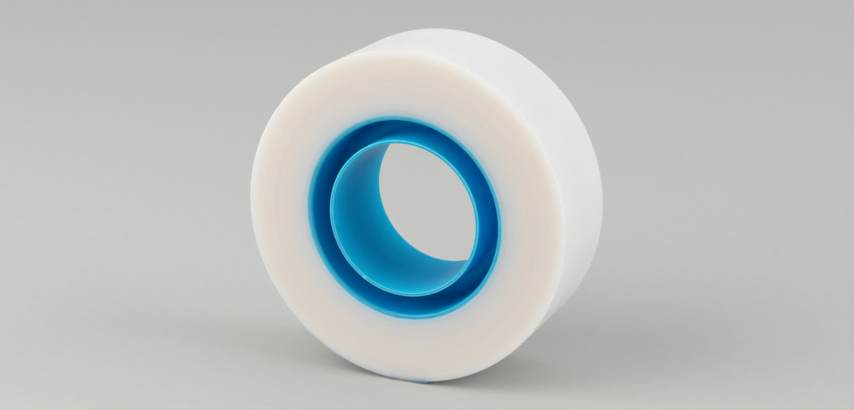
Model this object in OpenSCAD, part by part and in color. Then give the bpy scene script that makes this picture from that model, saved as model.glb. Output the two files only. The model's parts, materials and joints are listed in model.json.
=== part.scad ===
// Roll of matte clear tape on a moulded double-ring core, standing on its tread.
// The roll's axis lies along Y, the face that is seen first looks along -Y, and +Z is up.
// The origin is the centre of the core's bore.

/* [Tape] */
// Width of the tape
tape_w = 19; // [12:0.5:25]
// Length of tape on a full roll, in metres
tape_length_m = 25.4; // [15:0.1:33]
// Thickness of the tape's film
film_t = 0.041; // [0.03:0.001:0.06]
// Thickness of the adhesive under the film
adhesive_t = 0.02; // [0.015:0.001:0.03]

/* [Core] */
// Diameter of the bore that takes a dispenser's hub
bore_d = 25.4; // [20:0.1:30]
// Wall of the bore ring at its rims
bore_wall = 0.6; // [0.4:0.05:1.2]
// Width of the open channel between the two rings, at its mouth
channel_w = 3.2; // [2:0.1:6]
// Wall of the outer ring at its rims
outer_wall = 0.75; // [0.4:0.05:1.5]
// How far each rim of the core lies below the tape's edge
core_inset = 0.1; // [0.05:0.05:1]
// Thickness of the web that joins the two rings at mid-width
web_t = 1.2; // [0.8:0.1:3]
// Fillet between the web and the rings
web_fillet = 0.5; // [0.1:0.05:0.6]
// Mould draft of the channel's walls, in degrees
draft = 1; // [0.25:0.25:2]
// Round on the rims of both rings
rim_round = 0.15; // [0.05:0.01:0.18]

/* [Free end] */
// Depth of the flat that the roll's weight presses into its tread
flat_depth = 0.5; // [0.4:0.05:1]
// Gap between one bending length of the free end and the next
link_gap = 0.02; // [0.01:0.005:0.05]
// Length of the folded starter tab
tab_length = 7; // [4:0.1:7.2]
// How far the tab's leaves reach back past the lowest point of the roll
tab_reach = 2.6; // [1.5:0.1:3]
// Thickness of each leaf of the tab
tab_leaf_t = 0.08; // [0.05:0.01:0.1]
// Glue line between a leaf and the film
leaf_gap = 0.01; // [0.005:0.005:0.02]
// Room round the tab in the turn that it is pressed into
tab_clear = 0.02; // [0.01:0.01:0.05]

/* [Hidden] */
$fn = 180;

// Core, as a stack of walls outward from the bore
bore_r = bore_d / 2;
channel_in_r = bore_r + bore_wall;
channel_out_r = channel_in_r + channel_w;
core_r = channel_out_r + outer_wall;
core_half_w = tape_w / 2 - core_inset;
web_half_t = web_t / 2;
draft_shift = (core_half_w - rim_round - web_half_t) * tan(draft);
// The web's fillets touch the web and a drafted wall, which sets their centre
fillet_shift = draft_shift + web_fillet * (1 - sin(draft)) / cos(draft);

// Points of an arc, both ends included
function arc(centre, r, from, to, steps) = [
    for (i = [0 : steps])
        let (a = from + (to - from) * i / steps)
        centre + r * [cos(a), sin(a)]
];

// Section of the core from mid-width to one rim, as (radius, place across the tape)
rim_steps = 4;
fillet_steps = 8;
rim_level = core_half_w - rim_round;
fillet_level = web_half_t + web_fillet;
core_half_outline = concat(
    arc([bore_r + rim_round, rim_level], rim_round, 180, 90, rim_steps),
    arc([channel_in_r - rim_round, rim_level], rim_round, 90, 0, rim_steps),
    arc([channel_in_r + fillet_shift, fillet_level], web_fillet, 180 + draft, 270, fillet_steps),
    arc([channel_out_r - fillet_shift, fillet_level], web_fillet, 270, 360 - draft, fillet_steps),
    arc([channel_out_r + rim_round, rim_level], rim_round, 180, 90, rim_steps),
    arc([core_r - rim_round, rim_level], rim_round, 90, 0, rim_steps)
);
core_last = len(core_half_outline) - 1;
core_outline = concat(
    core_half_outline,
    [for (i = [core_last : -1 : 0]) [core_half_outline[i][0], -core_half_outline[i][1]]]
);

// Winding: each turn adds one pitch, so the tape's edge area gives the roll's radius
turn_pitch = film_t + adhesive_t;
mm_per_m = 1000;
roll_r = sqrt(core_r * core_r + tape_length_m * mm_per_m * turn_pitch / PI);

// Outer turn as a spiral of two half circles: the right half is centred on the bore,
// the left half half a pitch below it, so that its end lies one pitch further out
left_centre_z = -turn_pitch / 2;
left_r = roll_r + turn_pitch / 2;
left_film_in_r = left_r - film_t;

// Levels under the roll, upward from the surface that it stands on
floor_z = -(roll_r - flat_depth);
film_z = floor_z + tab_leaf_t + leaf_gap;
film_top_z = film_z + film_t;
upper_leaf_z = film_top_z + leaf_gap;
tab_top_z = upper_leaf_z + tab_leaf_t;
tab_t = tab_top_z - floor_z;
tab_start_x = -tab_reach;
tab_end_x = tab_start_x + tab_length;

// Free end: bends from the top of the roll, down its left side to the flat
tail_links = 11;
peel_angle = 90;
flat_angle = 180 + asin((left_centre_z - film_z) / left_r);
link_sweep = (flat_angle - peel_angle) / tail_links;
gap_sweep = link_gap / left_r * 180 / PI;
flat_start_x = left_film_in_r * cos(flat_angle) + link_gap;

// Length by which a cutting shape passes the solid that it cuts
past = 1;

tape_colour = [0.89, 0.86, 0.81];
film_colour = [0.93, 0.92, 0.90];
core_colour = [0.05, 0.56, 0.73];
tab_colour = [0.10, 0.36, 0.72];

function tail_name(i) = str("tape_tail_", i < 10 ? "0" : "", i);

// Turns a profile of (radius, place across the tape) about the roll's axis
module turned(from = 0, sweep = 360) {
    rotate([90, 0, 0])
        rotate([0, 0, from])
            rotate_extrude(angle = sweep)
                children();
}

// Carries a side-view outline across the whole width of the tape
module across_tape(w = tape_w) {
    rotate([90, 0, 0])
        linear_extrude(w, center = true)
            children();
}

// Half of a disc, on the +X or the -X side
module half_disc(r, side) {
    intersection() {
        circle(r);
        translate([side > 0 ? 0 : -r - past, -r - past])
            square([r + past, 2 * (r + past)]);
    }
}

// Film of the outer turn over a stretch of one half circle
module film_arc(outer_r, from, to) {
    turned(from, to - from)
        translate([outer_r - film_t, -tape_w / 2])
            square([film_t, tape_w]);
}

// Everything under the standing surface, over a stretch of X, up to a level
module under(from_x, to_x, level) {
    across_tape(tape_w + 2 * past)
        translate([from_x, -roll_r - past])
            square([to_x - from_x, level + roll_r + past]);
}

// Blue moulding: bore ring, outer ring and the web between them
module core() {
    color(core_colour)
        turned()
            polygon(core_outline);
}

// All the turns below the outer one, pressed flat and round the tab at the foot
module tape_winding() {
    color(tape_colour)
        difference() {
            across_tape() {
                half_disc(roll_r - turn_pitch, 1);
                translate([0, left_centre_z])
                    half_disc(left_r - turn_pitch, -1);
            }
            turned()
                translate([0, -tape_w])
                    square([core_r + adhesive_t, 2 * tape_w]);
            under(-roll_r, roll_r, floor_z);
            under(-roll_r, tab_start_x, film_top_z + adhesive_t);
            under(tab_start_x - tab_clear, tab_end_x + tab_clear, tab_top_z + tab_clear);
        }
}

// Outer turn up to the peel line: from the flat, up the right side to the top
module outer_turn() {
    color(film_colour)
        difference() {
            film_arc(roll_r, -peel_angle, peel_angle);
            under(-roll_r, roll_r, floor_z);
        }
}

// One bending length of the free end, counted from the peel line
module tape_tail(i) {
    from = peel_angle + (i - 1) * link_sweep;
    color(film_colour)
        translate([0, 0, left_centre_z])
            film_arc(left_r, from + gap_sweep / 2, from + link_sweep - gap_sweep / 2);
}

// Last length of the film, flat under the roll and into the fold of the tab
module tape_end() {
    film_end_x = tab_end_x - tab_t / 2;
    color(film_colour)
        across_tape()
            translate([flat_start_x, film_z])
                square([film_end_x - flat_start_x, film_t]);
}

// Tab folded round the end of the film: two leaves and a round fold
module starter_tab() {
    fold_x = tab_end_x - tab_t / 2;
    color(tab_colour)
        across_tape() {
            for (level = [floor_z, upper_leaf_z])
                translate([tab_start_x, level])
                    square([fold_x - tab_start_x, tab_leaf_t]);
            translate([fold_x, floor_z + tab_t / 2])
                difference() {
                    half_disc(tab_t / 2, 1);
                    circle(tab_t / 2 - tab_leaf_t);
                }
        }
}

core();
tape_winding();
outer_turn();
for (i = [1 : tail_links])
    tape_tail(i);
tape_end();
starter_tab();
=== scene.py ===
"""Looks of a roll of matte clear tape on a blue core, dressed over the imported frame.

Lengths are in metres unless a name ends in _MM or _PX. The roll's axis lies along Y, and it stands on
its tread.
"""

import json
import math

import bpy
from mathutils import Matrix, Vector


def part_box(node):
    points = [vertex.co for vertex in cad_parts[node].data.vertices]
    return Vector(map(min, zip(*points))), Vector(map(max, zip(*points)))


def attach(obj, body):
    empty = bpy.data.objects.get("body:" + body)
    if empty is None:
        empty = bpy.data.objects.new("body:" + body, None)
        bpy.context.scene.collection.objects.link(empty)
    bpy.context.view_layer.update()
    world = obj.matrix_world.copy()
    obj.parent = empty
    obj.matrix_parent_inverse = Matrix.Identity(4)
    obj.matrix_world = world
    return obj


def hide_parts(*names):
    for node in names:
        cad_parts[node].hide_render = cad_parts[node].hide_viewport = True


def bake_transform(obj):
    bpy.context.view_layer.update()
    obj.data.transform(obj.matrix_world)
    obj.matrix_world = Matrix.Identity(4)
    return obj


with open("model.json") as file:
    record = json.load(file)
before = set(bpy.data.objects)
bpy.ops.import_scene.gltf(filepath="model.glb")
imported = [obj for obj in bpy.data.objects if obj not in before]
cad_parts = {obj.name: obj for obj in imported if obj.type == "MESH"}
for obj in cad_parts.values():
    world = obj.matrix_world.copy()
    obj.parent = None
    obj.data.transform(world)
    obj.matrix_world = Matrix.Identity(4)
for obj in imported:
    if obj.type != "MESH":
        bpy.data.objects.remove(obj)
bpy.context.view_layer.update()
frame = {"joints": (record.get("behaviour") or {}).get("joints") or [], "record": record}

MM = 0.001

# Camera, placed so that the rims of the tape and the core fall where the photograph has them
IMAGE_WIDTH_PX = 854
FOCAL_LENGTH_PX = 2000
SENSOR_WIDTH_MM = 36
CAMERA_AZIMUTH = math.radians(23.047)
CAMERA_ELEVATION = math.radians(16.605)
CAMERA_PLACE = Vector((126.084, -295.722, 95.707)) * MM
CLIP_START = 0.01
CLIP_END = 20

# Floor, light from all round, and two lamps: soft discs that look at the roll
FLOOR_REACH = 4
WORLD_STRENGTH = 0.63
LEFT_LAMP = {"place": (-0.3, -0.3, 0.32), "width": 0.5, "watts": 1.5}
RIGHT_LAMP = {"place": (1.3, 0.1, 0.6), "width": 1.2, "watts": 8.6}

# Sizes of the core that the frame doesn't give
BORE_WALL = 0.6 * MM
OUTER_WALL = 0.75 * MM
WEB_HALF_T = 0.6 * MM
WEB_FILLET = 0.5 * MM
RIM_ROUND = 0.15 * MM
OUTER_RIM_ROUND = 0.45 * MM
RIM_BREAK = 0.02 * MM
DRAFT = math.radians(1)
WALL_TONE_W = 1 * MM
GATE_ANGLE = math.radians(237)
GATE_LENGTH = 1.1 * MM
GATE_HEIGHT = 0.08 * MM
GATE_SPOT_R = 0.15 * MM
GATE_FADE_R = 0.45 * MM

# Edges of the turns: mean inset, more of it on the first turns, and waves as (depth, waves per turn, start)
EDGE_INSET = 0.015 * MM
FIRST_INSET = 0.08 * MM
FIRST_TURNS = 6
EDGE_WAVES = [(0.006 * MM, 0.037, 0), (0.001 * MM, 0.151, 1.3), (0.004 * MM, 1.029, 0.5)]
EDGE_ROUND = 0.03 * MM

# Sizes of the film and its tab
FILM_T = 0.041 * MM
CORE_GAP = FILM_T / 4
LEAF_T = 0.08 * MM
GLUE_LINE = 0.01 * MM
TAB_LENGTH = 7 * MM
TAB_REACH = 2.6 * MM
TAB_DYE_X = 1.5 * MM
TAB_DYE_FADE = 0.1 * MM
LIFT_SWEEP = math.radians(5)

# Where a strip of film ends after its joint, as a share of the way to the next one
STRIP_SHARE = 0.5
LAST_STRIP_SHARE = 0.4

# Fineness of the meshes
CORE_SEGMENTS = 256
RIM_STEPS = 6
FILLET_STEPS = 8
OUTER_RIM_STEPS = 10
BREAK_STEPS = 3
TURN_SEGMENTS = 240
DEGREES_PER_STEP = 0.6
FOLD_STEPS = 12
SHARP_ANGLE = math.radians(40)
WINDING_SHARP_ANGLE = math.radians(50)


def taken_from_frame():
    """Radii, widths and angles of the roll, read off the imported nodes, joints and mount."""
    core_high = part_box("core")[1]
    winding_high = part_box("tape_winding")[1]
    right_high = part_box("outer_turn")[1]
    left_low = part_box("tape_tail_06")[0]
    bore = next(m for m in frame["record"]["mounts"] if m["name"] == "core_bore")
    places = [joint["pos_m"] for joint in frame["joints"]]
    roll_r = right_high.x
    left_r = -left_low.x
    pitch = 2 * (left_r - roll_r)
    return {
        "bore_r": bore["dims"]["r_mm"] * MM,
        "core_r": core_high.x,
        "core_half_w": core_high.y,
        "half_w": winding_high.y,
        "roll_r": roll_r,
        "left_r": left_r,
        "left_z": -pitch / 2,
        "pitch": pitch,
        "bends": [math.atan2(z + pitch / 2, x) % math.tau for x, _, z in places],
    }


size = taken_from_frame()
HALF_W = size["half_w"]
TOP = math.pi / 2
FOOT = 3 * math.pi / 2


def smoothstep(value, low, high):
    share = min(1, max(0, (value - low) / (high - low)))
    return share * share * (3 - 2 * share)


def direction(angle):
    """Unit vector in the roll's side view, as (x, z)."""
    return Vector((math.cos(angle), math.sin(angle)))


def on_turn(angle, depth):
    """Point of the outer turn's spiral in side view: the right half is centred on the bore, the left
    half half a pitch below it, and depth counts inward from the film's outer surface."""
    if angle <= TOP:
        return direction(angle) * (size["roll_r"] - depth)
    return Vector((0, size["left_z"])) + direction(angle) * (size["left_r"] - depth)


def new_piece(name, points, faces, sharp_angle=SHARP_ANGLE):
    """Mesh object with smooth faces, and sharp edges above the given angle."""
    mesh = bpy.data.meshes.new(name)
    mesh.from_pydata(points, [], faces)
    mesh.validate()
    mesh.shade_smooth()
    mesh.set_sharp_from_angle(angle=sharp_angle)
    piece = bpy.data.objects.new(name, mesh)
    bpy.context.scene.collection.objects.link(piece)
    return piece


def finish_piece(piece, material, slot, *nodes):
    """Gives a piece its material, and hides the CAD nodes that it stands in for. The slot is not used."""
    piece.data.materials.append(material)
    if nodes:
        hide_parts(*nodes)


# Core


def arc(centre, r, start, end, steps):
    """Points of an arc in the core's section, as (radius, place across the tape), by angles in degrees."""
    turns = [math.radians(start + (end - start) * i / steps) for i in range(steps + 1)]
    return [(centre[0] + r * math.cos(a), centre[1] + r * math.sin(a)) for a in turns]


def core_half_outline():
    """Section of the core from mid-width to one rim: bore ring, web and outer ring."""
    inner_r = size["bore_r"] + BORE_WALL
    outer_r = size["core_r"] - OUTER_WALL
    rim = size["core_half_w"] - RIM_ROUND
    shift = (rim - WEB_HALF_T) * math.tan(DRAFT) + WEB_FILLET
    foot = WEB_HALF_T + WEB_FILLET
    outline = arc((size["bore_r"] + RIM_ROUND, rim), RIM_ROUND, 180, 90, RIM_STEPS)
    outline += arc((inner_r - RIM_ROUND, rim), RIM_ROUND, 90, 0, RIM_STEPS)
    outline += arc((inner_r + shift, foot), WEB_FILLET, 180, 270, FILLET_STEPS)
    outline += arc((outer_r - shift, foot), WEB_FILLET, 270, 360, FILLET_STEPS)
    outer_round = (outer_r + OUTER_RIM_ROUND, size["core_half_w"] - OUTER_RIM_ROUND)
    outline += arc(outer_round, OUTER_RIM_ROUND, 180, 90, OUTER_RIM_STEPS)
    against_tape = (size["core_r"] - RIM_BREAK, size["core_half_w"] - RIM_BREAK)
    outline += arc(against_tape, RIM_BREAK, 90, 0, BREAK_STEPS)
    return outline


def gate_rise(r, y, angle):
    """Shift along Y that raises a small moulding mark on the front rim of the bore ring."""
    on_rim = y < -(size["core_half_w"] - RIM_ROUND) and r < size["bore_r"] + BORE_WALL
    if not on_rim:
        return 0
    away = abs(angle - GATE_ANGLE) * r
    return -GATE_HEIGHT * (1 - smoothstep(away, 0, GATE_LENGTH / 2))


def gate_place():
    middle = direction(GATE_ANGLE) * (size["bore_r"] + BORE_WALL / 2)
    return (middle.x, -size["core_half_w"] - GATE_HEIGHT, middle.y)


def make_core():
    back_half = core_half_outline()
    outline = back_half + [(r, -y) for r, y in reversed(back_half)]
    count = len(outline)
    points = []
    for segment in range(CORE_SEGMENTS):
        angle = math.tau * segment / CORE_SEGMENTS
        for r, y in outline:
            points.append((r * math.cos(angle), y + gate_rise(r, y, angle), r * math.sin(angle)))
    faces = []
    for segment in range(CORE_SEGMENTS):
        here = segment * count
        there = (segment + 1) % CORE_SEGMENTS * count
        for i in range(count):
            j = (i + 1) % count
            faces.append((here + i, there + i, there + j, here + j))
    core = new_piece("core_moulding", points, faces)
    finish_piece(core, core_plastic(), "core_plastic", "core")
    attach(core, "roll")


# Tape below the outer turn


def edge_wander(turn):
    """How far a turn's edges lie inward from the tape's full width."""
    inset = EDGE_INSET + FIRST_INSET * (1 - smoothstep(turn, 0, FIRST_TURNS))
    for depth, per_turn, start in EDGE_WAVES:
        inset += depth * math.sin(math.tau * per_turn * turn + start)
    return inset


def make_winding():
    """One spiral of turns: each face is a grid whose rows are turns, joined end to end at the foot."""
    outer_r = size["roll_r"] - size["pitch"]
    inner_r = size["core_r"] + CORE_GAP
    turns = round((outer_r - inner_r) / size["pitch"])
    rise = (outer_r - inner_r) / turns
    last = (turns + 1) * TURN_SEGMENTS
    start = FOOT - math.tau
    front = []
    back = []
    for k in range(last + 1):
        row, step = divmod(k, TURN_SEGMENTS)
        at = on_turn(start + math.tau * step / TURN_SEGMENTS, size["roll_r"] - inner_r - rise * row)
        below_tread = max(0, EDGE_ROUND - (last - k) / TURN_SEGMENTS * rise)
        rounding = EDGE_ROUND - math.sqrt(EDGE_ROUND ** 2 - below_tread ** 2)
        half_w = HALF_W - edge_wander(k / TURN_SEGMENTS) - rounding
        front.append((at.x, -half_w, at.y))
        back.append((at.x, half_w, at.y))
    shift = len(front)
    faces = []
    for k in range(last - TURN_SEGMENTS):
        up = k + TURN_SEGMENTS
        faces.append((k, up, up + 1, k + 1))
        faces.append((shift + k, shift + k + 1, shift + up + 1, shift + up))
    outer_start = last - TURN_SEGMENTS
    for k in range(TURN_SEGMENTS):
        at = outer_start + k
        faces.append((at, shift + at, shift + at + 1, at + 1))
        faces.append((k, k + 1, shift + k + 1, shift + k))
    faces.append((outer_start, last, shift + last, shift + outer_start))
    faces.append((0, shift, shift + TURN_SEGMENTS, TURN_SEGMENTS))
    winding = new_piece("wound_turns", front + back, faces, WINDING_SHARP_ANGLE)
    finish_piece(winding, wound_tape(), "wound_tape", "tape_winding")
    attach(winding, "roll")


# Film of the outer turn and its free end


def ribbon(name, path, thickness):
    """Band across the tape's width that follows a path of (point, outward direction) in side view."""
    points = []
    for at, outward in path:
        for side, y in ((0.5, -HALF_W), (0.5, HALF_W), (-0.5, HALF_W), (-0.5, -HALF_W)):
            edge = at + outward * (side * thickness)
            points.append((edge.x, y, edge.y))
    faces = []
    for i in range(len(path) - 1):
        here = 4 * i
        for corner in range(4):
            beside = (corner + 1) % 4
            faces.append((here + corner, here + beside, here + 4 + beside, here + 4 + corner))
    end = 4 * (len(path) - 1)
    faces.append((3, 2, 1, 0))
    faces.append((end, end + 1, end + 2, end + 3))
    return new_piece(name, points, faces)


def foot_angle(x):
    """Angle of a point of the tread near the foot, from its place along X."""
    return FOOT + math.asin(x / size["left_r"])


def film_lift(angle):
    """How far the film stands off the roll, to make room for the tab's upper leaf."""
    tab_angle = foot_angle(-TAB_REACH)
    room = LEAF_T + 2 * GLUE_LINE
    return room * smoothstep(angle, tab_angle - LIFT_SWEEP, tab_angle)


def film_path(start, end):
    """Middle of the film from one angle to another, for a ribbon."""
    steps = max(2, math.ceil(math.degrees(end - start) / DEGREES_PER_STEP))
    path = []
    for i in range(steps + 1):
        angle = start + (end - start) * i / steps
        path.append((on_turn(angle, FILM_T / 2 - film_lift(angle)), direction(angle)))
    return path


def make_film():
    """Outer turn on the roll, then the free end: one strip about each joint, and a last length."""
    material = tape_film()
    outer = ribbon("outer_turn_film", film_path(FOOT - math.tau, TOP), FILM_T)
    finish_piece(outer, material, "tape_film", "outer_turn")
    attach(outer, "roll")

    bends = size["bends"]
    sweep = bends[1] - bends[0]
    start = bends[0]
    for number, (joint, bend) in enumerate(zip(frame["joints"], bends), 1):
        last_bend = number == len(bends)
        end = bend + sweep * (LAST_STRIP_SHARE if last_bend else STRIP_SHARE)
        path = film_path(start, end)
        strip = ribbon(f"tail_film_{number:02d}", path, FILM_T)
        nodes = [] if last_bend else [joint["child"]]
        finish_piece(strip, material, "tape_film", *nodes)
        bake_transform(strip)
        start = end

    film_end = foot_angle(TAB_LENGTH - TAB_REACH - LEAF_T)
    end_film = ribbon("end_film", film_path(start, film_end), FILM_T)
    finish_piece(end_film, material, "tape_film", "tape_end")
    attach(end_film, frame["joints"][-1]["child"])


def make_tab():
    """Tab folded round the end of the tape: a lower leaf, a round fold and an upper leaf."""
    start = foot_angle(-TAB_REACH)
    fold = foot_angle(TAB_LENGTH - TAB_REACH)
    steps = math.ceil(math.degrees(fold - start) / DEGREES_PER_STEP)
    film_middle = FILM_T / 2 - LEAF_T - 2 * GLUE_LINE
    spacing = (FILM_T + LEAF_T) / 2 + GLUE_LINE
    angles = [start + (fold - start) * i / steps for i in range(steps + 1)]
    lower = [(on_turn(a, film_middle - spacing), direction(a)) for a in angles]
    upper = [(on_turn(a, film_middle + spacing), -direction(a)) for a in reversed(angles)]
    centre = on_turn(fold, film_middle)
    along = Vector((-direction(fold).y, direction(fold).x))
    bend = []
    for i in range(1, FOLD_STEPS):
        turn = math.pi * i / FOLD_STEPS
        outward = along * math.sin(turn) + direction(fold) * math.cos(turn)
        bend.append((centre + outward * spacing, outward))
    tab = ribbon("folded_tab", lower + bend + upper, LEAF_T)
    finish_piece(tab, tab_film(), "tab_film", "starter_tab")
    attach(tab, frame["joints"][-1]["child"])
    return tab


# Materials


def colour(red, green, blue):
    """Linear colour from the 0 to 255 values that a screen shows."""
    linear = []
    for value in (red, green, blue):
        share = value / 255
        linear.append(share / 12.92 if share <= 0.04045 else ((share + 0.055) / 1.055) ** 2.4)
    return (*linear, 1)


def grey(level):
    return (level, level, level, 1)


class Shader:
    """A node material with one Principled shader, and short calls that add nodes to it."""

    def __init__(self, name):
        self.material = bpy.data.materials.new(name)
        self.material.use_nodes = True
        self.tree = self.material.node_tree
        self.shader = self.tree.nodes["Principled BSDF"]
        self.place = self.tree.nodes.new("ShaderNodeTexCoord").outputs["Object"]

    def set(self, **values):
        """Fixed values on the shader's own sockets, with _ for a space in their names."""
        for name, value in values.items():
            self.shader.inputs[name.replace("_", " ")].default_value = value

    def link(self, output, socket):
        self.tree.links.new(output, socket)

    def feed(self, output, name):
        """Links a node's output to one of the shader's sockets."""
        self.link(output, self.shader.inputs[name])

    def noise(self, scale, detail, distortion=0.0):
        """Noise over the place on the piece."""
        node = self.tree.nodes.new("ShaderNodeTexNoise")
        node.inputs["Scale"].default_value = scale
        node.inputs["Detail"].default_value = detail
        node.inputs["Distortion"].default_value = distortion
        self.link(self.place, node.inputs["Vector"])
        return node.outputs["Fac"]

    def noise_along(self, value, scale, detail):
        """Noise that changes with one value only."""
        node = self.tree.nodes.new("ShaderNodeTexNoise")
        node.noise_dimensions = "1D"
        node.inputs["Scale"].default_value = scale
        node.inputs["Detail"].default_value = detail
        self.link(value, node.inputs["W"])
        return node.outputs["Fac"]

    def ramp(self, value, stops):
        """Colour ramp through (position, colour) stops."""
        node = self.tree.nodes.new("ShaderNodeValToRGB")
        elements = node.color_ramp.elements
        while len(elements) < len(stops):
            elements.new(0.5)
        for element, (position, tone) in zip(elements, stops):
            element.position = position
            element.color = tone
        self.link(value, node.inputs["Fac"])
        return node.outputs["Color"]

    def levels(self, value, stops):
        """Grey ramp through (value, level) stops, from the first stop's value to the last one's."""
        low = stops[0][0]
        reach = stops[-1][0] - low
        share = self.grade(value, low, low + reach, 0, 1)
        return self.ramp(share, [((at - low) / reach, grey(level)) for at, level in stops])

    def grade(self, value, low, high, to_low, to_high):
        """A value taken from one range to another, and held at its ends."""
        node = self.tree.nodes.new("ShaderNodeMapRange")
        node.inputs["From Min"].default_value = low
        node.inputs["From Max"].default_value = high
        node.inputs["To Min"].default_value = to_low
        node.inputs["To Max"].default_value = to_high
        self.link(value, node.inputs["Value"])
        return node.outputs["Result"]

    def mix(self, blend, share, first, second):
        """Two colours blended, each a node's output or a fixed tone. With no share, the second
        counts in full."""
        node = self.tree.nodes.new("ShaderNodeMix")
        node.data_type = "RGBA"
        node.blend_type = blend
        node.inputs["Factor"].default_value = 1
        if share:
            self.link(share, node.inputs["Factor"])
        colours = [socket for socket in node.inputs if socket.type == "RGBA"]
        for value, socket in zip((first, second), colours):
            if isinstance(value, tuple):
                socket.default_value = value
            else:
                self.link(value, socket)
        return next(socket for socket in node.outputs if socket.type == "RGBA")

    def masked_length(self, mask):
        """Length of the place once the axes whose mask is 0 are taken out."""
        flat = self.tree.nodes.new("ShaderNodeVectorMath")
        flat.operation = "MULTIPLY"
        flat.inputs[1].default_value = mask
        self.link(self.place, flat.inputs[0])
        length = self.tree.nodes.new("ShaderNodeVectorMath")
        length.operation = "LENGTH"
        self.link(flat.outputs["Vector"], length.inputs[0])
        return length.outputs["Value"]

    def radius(self):
        """Distance from the roll's axis."""
        return self.masked_length((1, 0, 1))

    def across(self):
        """Distance from the middle of the tape's width."""
        return self.masked_length((0, 1, 0))

    def along_x(self):
        node = self.tree.nodes.new("ShaderNodeSeparateXYZ")
        self.link(self.place, node.inputs[0])
        return node.outputs["X"]

    def distance(self, point):
        """Distance from a fixed point."""
        node = self.tree.nodes.new("ShaderNodeVectorMath")
        node.operation = "DISTANCE"
        node.inputs[1].default_value = point
        self.link(self.place, node.inputs[0])
        return node.outputs["Value"]

    def bump(self, height, strength, distance):
        node = self.tree.nodes.new("ShaderNodeBump")
        node.inputs["Strength"].default_value = strength
        node.inputs["Distance"].default_value = distance
        self.link(height, node.inputs["Height"])
        self.feed(node.outputs["Normal"], "Normal")


def painted_rim_highlights(plastic, radius, depth):
    """Share of painted highlight: a fine pale line along each side of the bore ring's rim, and a pale band
    beside the tape.
    Each stop is a distance in millimetres, outward from the bore or from the core's outside, and a share."""
    beside_bore = [(0, 0.4), (0.08, 0.4), (0.14, 0.05)]
    beside_channel = [(0.34, 0.05), (0.42, 0.9), (0.52, 0.9), (0.58, 0.15), (0.7, 0)]
    beside_tape = [(-0.55, 0), (-0.2, 0.45), (-0.06, 0.9), (0, 0.9)]
    stops = [(size["bore_r"] + out * MM, share) for out, share in beside_bore + beside_channel]
    stops += [(size["core_r"] + out * MM, share) for out, share in beside_tape]
    lines = plastic.levels(radius, stops)
    uneven = plastic.levels(plastic.noise(scale=900, detail=2), [(0.35, 0.7), (0.6, 1)])
    on_rim = plastic.grade(depth, 0.98, 0.99, 0, 1)
    return plastic.mix("MIX", on_rim, grey(0), plastic.mix("MULTIPLY", None, lines, uneven))


def core_plastic():
    """Translucent plastic, light cyan at the rims, deeper along the walls, bluest in the channel. Beyond the
    blue dye, these tones are painted light and shade: lighter towards the rims and darker at mid-width, the
    bore ring's channel side lighter and the outer ring's wall darker, with pale painted highlight lines on
    the rounded rim edges.
    Depth runs from 0 at mid-width to 1 at the rims."""
    plastic = Shader("core_plastic")
    depth = plastic.grade(plastic.across(), 0, size["core_half_w"], 0, 1)
    # Bore wall: lighter towards the rims and darker at mid-width is painted shade of the light that reaches
    # in at the open ends; the stop at 0.992 is a painted highlight line on the rounded rim edge.
    bore_tone = plastic.ramp(depth, [
        (0.0, colour(0, 154, 205)),
        (0.4, colour(0, 159, 208)),
        (0.75, colour(0, 174, 216)),
        (0.95, colour(2, 188, 220)),
        (0.978, colour(10, 182, 214)),
        (0.992, colour(110, 214, 248)),
        (1.0, colour(6, 174, 204)),
    ])
    # Bore ring's channel side: painted lighter, as light coming through the thin ring; the stop at 0.992 is
    # a painted highlight line.
    inner_ring_tone = plastic.ramp(depth, [
        (0.0, colour(0, 198, 239)),
        (0.4, colour(0, 197, 239)),
        (0.7, colour(0, 184, 232)),
        (0.92, colour(2, 172, 216)),
        (0.978, colour(10, 182, 214)),
        (0.992, colour(40, 190, 232)),
        (1.0, colour(6, 174, 204)),
    ])
    # Outer ring's inner wall: painted darker, as shade deep in the channel.
    outer_ring_tone = plastic.ramp(depth, [
        (0.0, colour(0, 150, 218)),
        (0.4, colour(0, 149, 217)),
        (0.7, colour(0, 144, 212)),
        (0.92, colour(0, 149, 207)),
        (0.965, colour(2, 160, 206)),
        (1.0, colour(8, 170, 208)),
    ])
    radius = plastic.radius()
    inner_ring_r = size["bore_r"] + BORE_WALL
    outer_ring_r = size["core_r"] - OUTER_WALL
    past_bore = plastic.grade(radius, size["bore_r"], inner_ring_r, 0, 1)
    past_channel = plastic.grade(radius, inner_ring_r + WALL_TONE_W, outer_ring_r - WALL_TONE_W, 0, 1)
    dye_and_painted_light = plastic.mix("MIX", past_bore, bore_tone, inner_ring_tone)
    dye_and_painted_light = plastic.mix("MIX", past_channel, dye_and_painted_light, outer_ring_tone)
    # Pale painted highlights along the rim edges and beside the tape.
    dye_and_painted_light = plastic.mix("MIX", painted_rim_highlights(plastic, radius, depth), dye_and_painted_light, colour(126, 216, 255))
    gate = plastic.grade(plastic.distance(gate_place()), GATE_SPOT_R, GATE_FADE_R, 0.9, 0)
    dye_and_painted_light = plastic.mix("MIX", gate, dye_and_painted_light, colour(138, 217, 255))
    flow = plastic.noise(scale=160, detail=2, distortion=0.6)
    cloud = plastic.ramp(flow, [(0.3, colour(248, 250, 250)), (0.7, colour(255, 255, 255))])
    plastic.feed(plastic.mix("MULTIPLY", None, dye_and_painted_light, cloud), "Base Color")
    plastic.feed(plastic.grade(flow, 0.3, 0.7, 0.13, 0.18), "Roughness")
    plastic.set(Subsurface_Weight=1.0, Subsurface_Radius=(0.05, 0.8, 1.2), Subsurface_Scale=1.4 * MM)
    gloss = plastic.ramp(depth, [(0.97, grey(0)), (0.985, grey(1)), (0.993, grey(1)), (1.0, grey(0.2))])
    plastic.feed(gloss, "Coat Weight")
    plastic.set(IOR=1.49, Specular_IOR_Level=0.006, Coat_IOR=1.49, Coat_Roughness=0.12)
    return plastic.material


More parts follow.
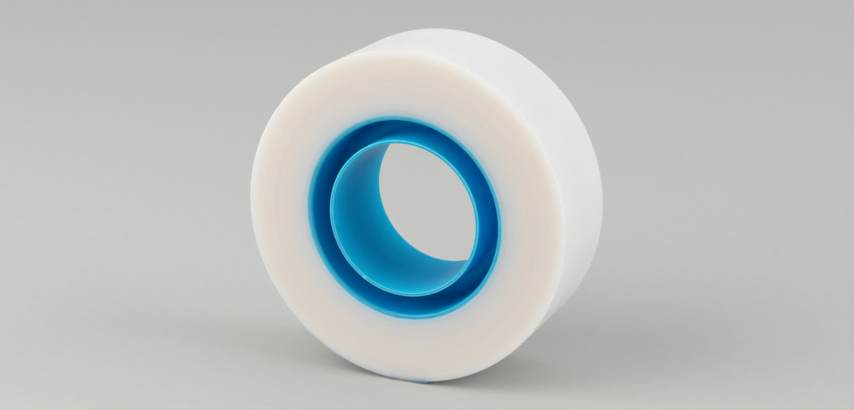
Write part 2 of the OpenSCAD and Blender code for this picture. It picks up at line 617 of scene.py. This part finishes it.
def wound_tape():
    """Edges of the turns: bluish beside the core, a painted glow of blue light through the tape from the
    core; grey, then warm; and pale at the tread, painted light coming in through the tread.
    """
    tape = Shader("wound_tape")
    radius = tape.radius()
    share = tape.grade(radius, size["core_r"], size["roll_r"], 0, 1)
    # Tone by radius: the bluish stops beside the core are painted light from the blue core, and the pale
    # stops at the tread are painted light coming in from the tread.
    tone = tape.ramp(share, [
        (0.0, colour(150, 224, 246)),
        (0.02, colour(176, 224, 242)),
        (0.04, colour(202, 223, 233)),
        (0.08, colour(220, 224, 226)),
        (0.2, colour(226, 223, 221)),
        (0.45, colour(231, 224, 218)),
        (0.8, colour(234, 227, 220)),
        (0.92, colour(236, 232, 226)),
        (0.99, colour(239, 239, 238)),
    ])
    rings = tape.noise_along(radius, scale=2400, detail=4)
    lines = tape.ramp(rings, [(0.3, colour(252, 251, 250)), (0.7, colour(255, 255, 255))])
    tape.feed(tape.mix("MULTIPLY", None, tone, lines), "Base Color")
    tape.set(Roughness=0.55, IOR=1.46)
    tape.feed(tape.grade(share, 0.0, 0.06, 0.1, 0.9), "Subsurface Weight")
    tape.set(Subsurface_Radius=(1.0, 0.85, 0.7), Subsurface_Scale=5 * MM)
    tape.bump(rings, strength=0.02, distance=0.01 * MM)
    return tape.material


def tape_film():
    """Frosted film: white, matte and mostly see-through, with a fine grain and a faint cloud."""
    film = Shader("tape_film")
    grain = film.noise(scale=3200, detail=3)
    speckle = film.ramp(grain, [(0.35, colour(234, 234, 235)), (0.65, colour(255, 255, 255))])
    drift = film.noise(scale=240, detail=2)
    cloud = film.ramp(drift, [(0.3, colour(249, 249, 249)), (0.7, colour(255, 255, 255))])
    film.feed(film.mix("MULTIPLY", None, speckle, cloud), "Base Color")
    film.feed(film.grade(grain, 0.3, 0.7, 0.58, 0.72), "Roughness")
    film.set(Alpha=0.2, IOR=1.46)
    film.bump(grain, strength=0.12, distance=0.01 * MM)
    return film.material


def tab_film():
    """Thin tab, grey where it joins the film and blue along its folded end, with a slight mottle. The grey
    is clear film darkened as painted shade of the gap under the lifted tape end.
    """
    film = Shader("tab_film")
    mottle = film.noise(scale=1500, detail=2)
    # Grey of the clear part, darkened as painted shade of the gap under the lifted tape end.
    clear = film.ramp(mottle, [(0.3, colour(140, 146, 154)), (0.7, colour(150, 156, 164))])
    blue = film.ramp(mottle, [(0.3, colour(74, 140, 176)), (0.7, colour(84, 152, 188))])
    dyed = film.grade(film.along_x(), TAB_DYE_X - TAB_DYE_FADE, TAB_DYE_X + TAB_DYE_FADE, 0, 1)
    film.feed(film.mix("MIX", dyed, clear, blue), "Base Color")
    film.feed(film.grade(mottle, 0.3, 0.7, 0.3, 0.4), "Roughness")
    return film.material


def floor_paint():
    """Plain pale grey, with a very faint mottle."""
    paint = Shader("floor_paint")
    mottle = paint.noise(scale=500, detail=3)
    tone = paint.ramp(mottle, [(0.3, colour(196, 196, 192)), (0.7, colour(199, 199, 195))])
    paint.feed(tone, "Base Color")
    paint.set(Roughness=0.9, Specular_IOR_Level=0.1)
    return paint.material


# Camera, floor and light


def looking(place, way):
    """Transform of a camera or lamp at a place, turned to look along a direction."""
    return Matrix.Translation(place) @ way.to_track_quat("-Z", "Y").to_matrix().to_4x4()


def make_camera():
    back = Vector((
        math.sin(CAMERA_AZIMUTH) * math.cos(CAMERA_ELEVATION),
        -math.cos(CAMERA_AZIMUTH) * math.cos(CAMERA_ELEVATION),
        math.sin(CAMERA_ELEVATION),
    ))
    data = bpy.data.cameras.new("camera")
    data.sensor_width = SENSOR_WIDTH_MM
    data.lens = FOCAL_LENGTH_PX / IMAGE_WIDTH_PX * SENSOR_WIDTH_MM
    data.clip_start = CLIP_START
    data.clip_end = CLIP_END
    camera = bpy.data.objects.new("camera", data)
    camera.matrix_world = looking(CAMERA_PLACE, -back)
    bpy.context.scene.collection.objects.link(camera)
    bpy.context.scene.camera = camera


def make_floor(level):
    sides = ((-1, -1), (1, -1), (1, 1), (-1, 1))
    corners = [(x * FLOOR_REACH, y * FLOOR_REACH, level) for x, y in sides]
    floor = new_piece("floor", corners, [(0, 1, 2, 3)])
    floor.data.materials.append(floor_paint())


def make_lamp(name, place, width, watts):
    data = bpy.data.lights.new(name, "AREA")
    data.shape = "DISK"
    data.size = width
    data.energy = watts
    lamp = bpy.data.objects.new(name, data)
    lamp.matrix_world = looking(Vector(place), -Vector(place))
    bpy.context.scene.collection.objects.link(lamp)


def make_world():
    """Even pale light from all round. The camera, reflections and rays through clear things meet a
    backdrop in the floor's tone instead."""
    world = bpy.data.worlds.new("studio")
    world.use_nodes = True
    bpy.context.scene.world = world
    nodes = world.node_tree.nodes
    links = world.node_tree.links
    light = nodes["Background"]
    light.inputs["Color"].default_value = grey(1)
    light.inputs["Strength"].default_value = WORLD_STRENGTH
    backdrop = nodes.new("ShaderNodeBackground")
    backdrop.inputs["Color"].default_value = colour(194, 194, 190)
    backdrop.inputs["Strength"].default_value = 1
    path = nodes.new("ShaderNodeLightPath")
    seen = path.outputs["Is Camera Ray"]
    for ray in ("Is Glossy Ray", "Is Transmission Ray"):
        either = nodes.new("ShaderNodeMath")
        either.operation = "MAXIMUM"
        links.new(seen, either.inputs[0])
        links.new(path.outputs[ray], either.inputs[1])
        seen = either.outputs["Value"]
    choice = nodes.new("ShaderNodeMixShader")
    links.new(seen, choice.inputs["Fac"])
    links.new(light.outputs["Background"], choice.inputs[1])
    links.new(backdrop.outputs["Background"], choice.inputs[2])
    links.new(choice.outputs["Shader"], nodes["World Output"].inputs["Surface"])


make_camera()
make_core()
make_winding()
make_film()
tab = make_tab()
make_floor(min(vertex.co.z for vertex in tab.data.vertices))
make_world()
make_lamp("left_lamp", **LEFT_LAMP)
make_lamp("right_lamp", **RIGHT_LAMP)
bpy.context.scene.view_settings.view_transform = "Standard"
